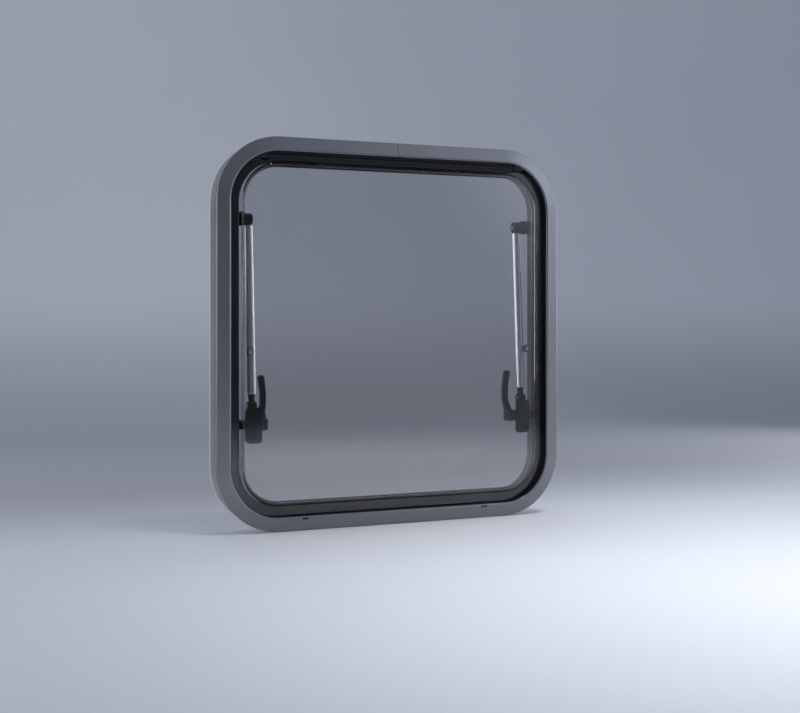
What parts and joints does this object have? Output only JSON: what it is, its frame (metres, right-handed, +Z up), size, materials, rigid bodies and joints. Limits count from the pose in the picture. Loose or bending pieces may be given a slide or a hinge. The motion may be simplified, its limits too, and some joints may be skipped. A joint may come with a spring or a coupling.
{
  "type": "opening window",
  "caption": "Top-hung opening window with a rounded-square aluminium frame, raised double acrylic pane, telescopic side stays and lever latches.",
  "frame": {"origin": "centre of the opening on the wall's outer face, the plane of the flange's back", "axes": "+X to the right as seen from outside, +Y through the wall into the room, +Z up"},
  "size_m": [0.524, 0.0471, 0.524],
  "materials": {
    "anodised_grey": "satin grey anodised, fine extrusion lines",
    "white_paint": "satin white powder coat",
    "zinc_steel": "bright zinc",
    "rivet_aluminium": "satin",
    "black_rubber": "matt black",
    "black_plastic": "satin black",
    "black_fitting": "satin black",
    "latch_plastic": "satin black",
    "lever_plastic": "satin black",
    "black_screw": "black",
    "black_band": "black bonding band",
    "smoked_acrylic": "clear gloss, light grey tint",
    "clear_acrylic": "clear gloss",
    "vent_plastic": "milky clear",
    "tube_aluminium": "satin natural anodised",
    "rod_aluminium": "polished",
    "pin_steel": "bright"
  },
  "bodies": {
    "frame": {"outer_frame": "anodised_grey", "frame_joint_plate": "zinc_steel", "flange_seal": "black_rubber", "pane_seal": "black_rubber", "gap_liner": "black_rubber", "inner_clamp_frame": "white_paint", "clamp_screws": "zinc_steel", "hinge_rail": "black_plastic", "rail_rivets": "rivet_aluminium", "hinge_end_caps": "black_plastic", "left_stay_bracket": "black_fitting", "right_stay_bracket": "black_fitting", "bracket_screws": "zinc_steel", "left_keeper": "black_fitting", "right_keeper": "black_fitting", "keeper_screws": "zinc_steel"},
    "pane": {"outer_glazing": "smoked_acrylic", "bond_band": "black_band", "inner_glazing": "clear_acrylic", "vent_plugs": "vent_plastic", "hinge_leaf": "black_plastic", "left_latch_base": "latch_plastic", "right_latch_base": "latch_plastic", "left_latch_cover": "latch_plastic", "right_latch_cover": "latch_plastic", "cover_screws": "zinc_steel", "housing_screws": "black_screw", "stay_pivot_pins": "zinc_steel"},
    "left_lever": {"left_lever": "lever_plastic", "left_lever_pin": "zinc_steel", "left_lever_shaft": "zinc_steel", "left_tongue": "lever_plastic"},
    "left_rod": {"left_stay_rod": "rod_aluminium", "left_rod_eye": "black_fitting", "left_rod_piston": "black_fitting"},
    "left_tube": {"left_stay_tube": "tube_aluminium", "left_tube_bush": "black_fitting", "left_tube_eye": "black_fitting", "left_upper_pin": "pin_steel"},
    "right_lever": {"right_lever": "lever_plastic", "right_lever_pin": "zinc_steel", "right_lever_shaft": "zinc_steel", "right_tongue": "lever_plastic"},
    "right_rod": {"right_stay_rod": "rod_aluminium", "right_rod_eye": "black_fitting", "right_rod_piston": "black_fitting"},
    "right_tube": {"right_stay_tube": "tube_aluminium", "right_tube_bush": "black_fitting", "right_tube_eye": "black_fitting", "right_upper_pin": "pin_steel"}
  },
  "joints": [
    {"name": "pane_hinge", "type": "hinge", "parent": "frame", "child": "pane", "pos_m": [0, 0.002, 0.236], "axis": [-1, 0, 0], "range_deg": [0, 60]},
    {"name": "left_lever_turn", "type": "hinge", "parent": "pane", "child": "left_lever", "pos_m": [-0.2074, 0.018, -0.1198], "axis": [-1, 0, 0], "range_deg": [0, 90]},
    {"name": "left_stay_pivot", "type": "hinge", "parent": "pane", "child": "left_rod", "pos_m": [-0.2084, 0.014, -0.094], "axis": [-1, 0, 0], "range_deg": [0, 10.15]},
    {"name": "left_stay_extend", "type": "slide", "parent": "left_rod", "child": "left_tube", "axis": [0, 0.0547, 0.9985], "range_m": [0, 0.0721]},
    {"name": "right_lever_turn", "type": "hinge", "parent": "pane", "child": "right_lever", "pos_m": [0.2074, 0.018, -0.1198], "axis": [-1, 0, 0], "range_deg": [0, 90]},
    {"name": "right_stay_pivot", "type": "hinge", "parent": "pane", "child": "right_rod", "pos_m": [0.2084, 0.014, -0.094], "axis": [-1, 0, 0], "range_deg": [0, 10.15]},
    {"name": "right_stay_extend", "type": "slide", "parent": "right_rod", "child": "right_tube", "axis": [0, 0.0547, 0.9985], "range_m": [0, 0.0721]}
  ],
  "couplings": [
    {"joint": "left_stay_pivot", "follows": "pane_hinge", "ratio": 0.16856},
    {"joint": "left_stay_extend", "follows": "pane_hinge", "m_per_rad": 0.068706},
    {"joint": "right_stay_pivot", "follows": "pane_hinge", "ratio": 0.16856},
    {"joint": "right_stay_extend", "follows": "pane_hinge", "m_per_rad": 0.068706}
  ]
}
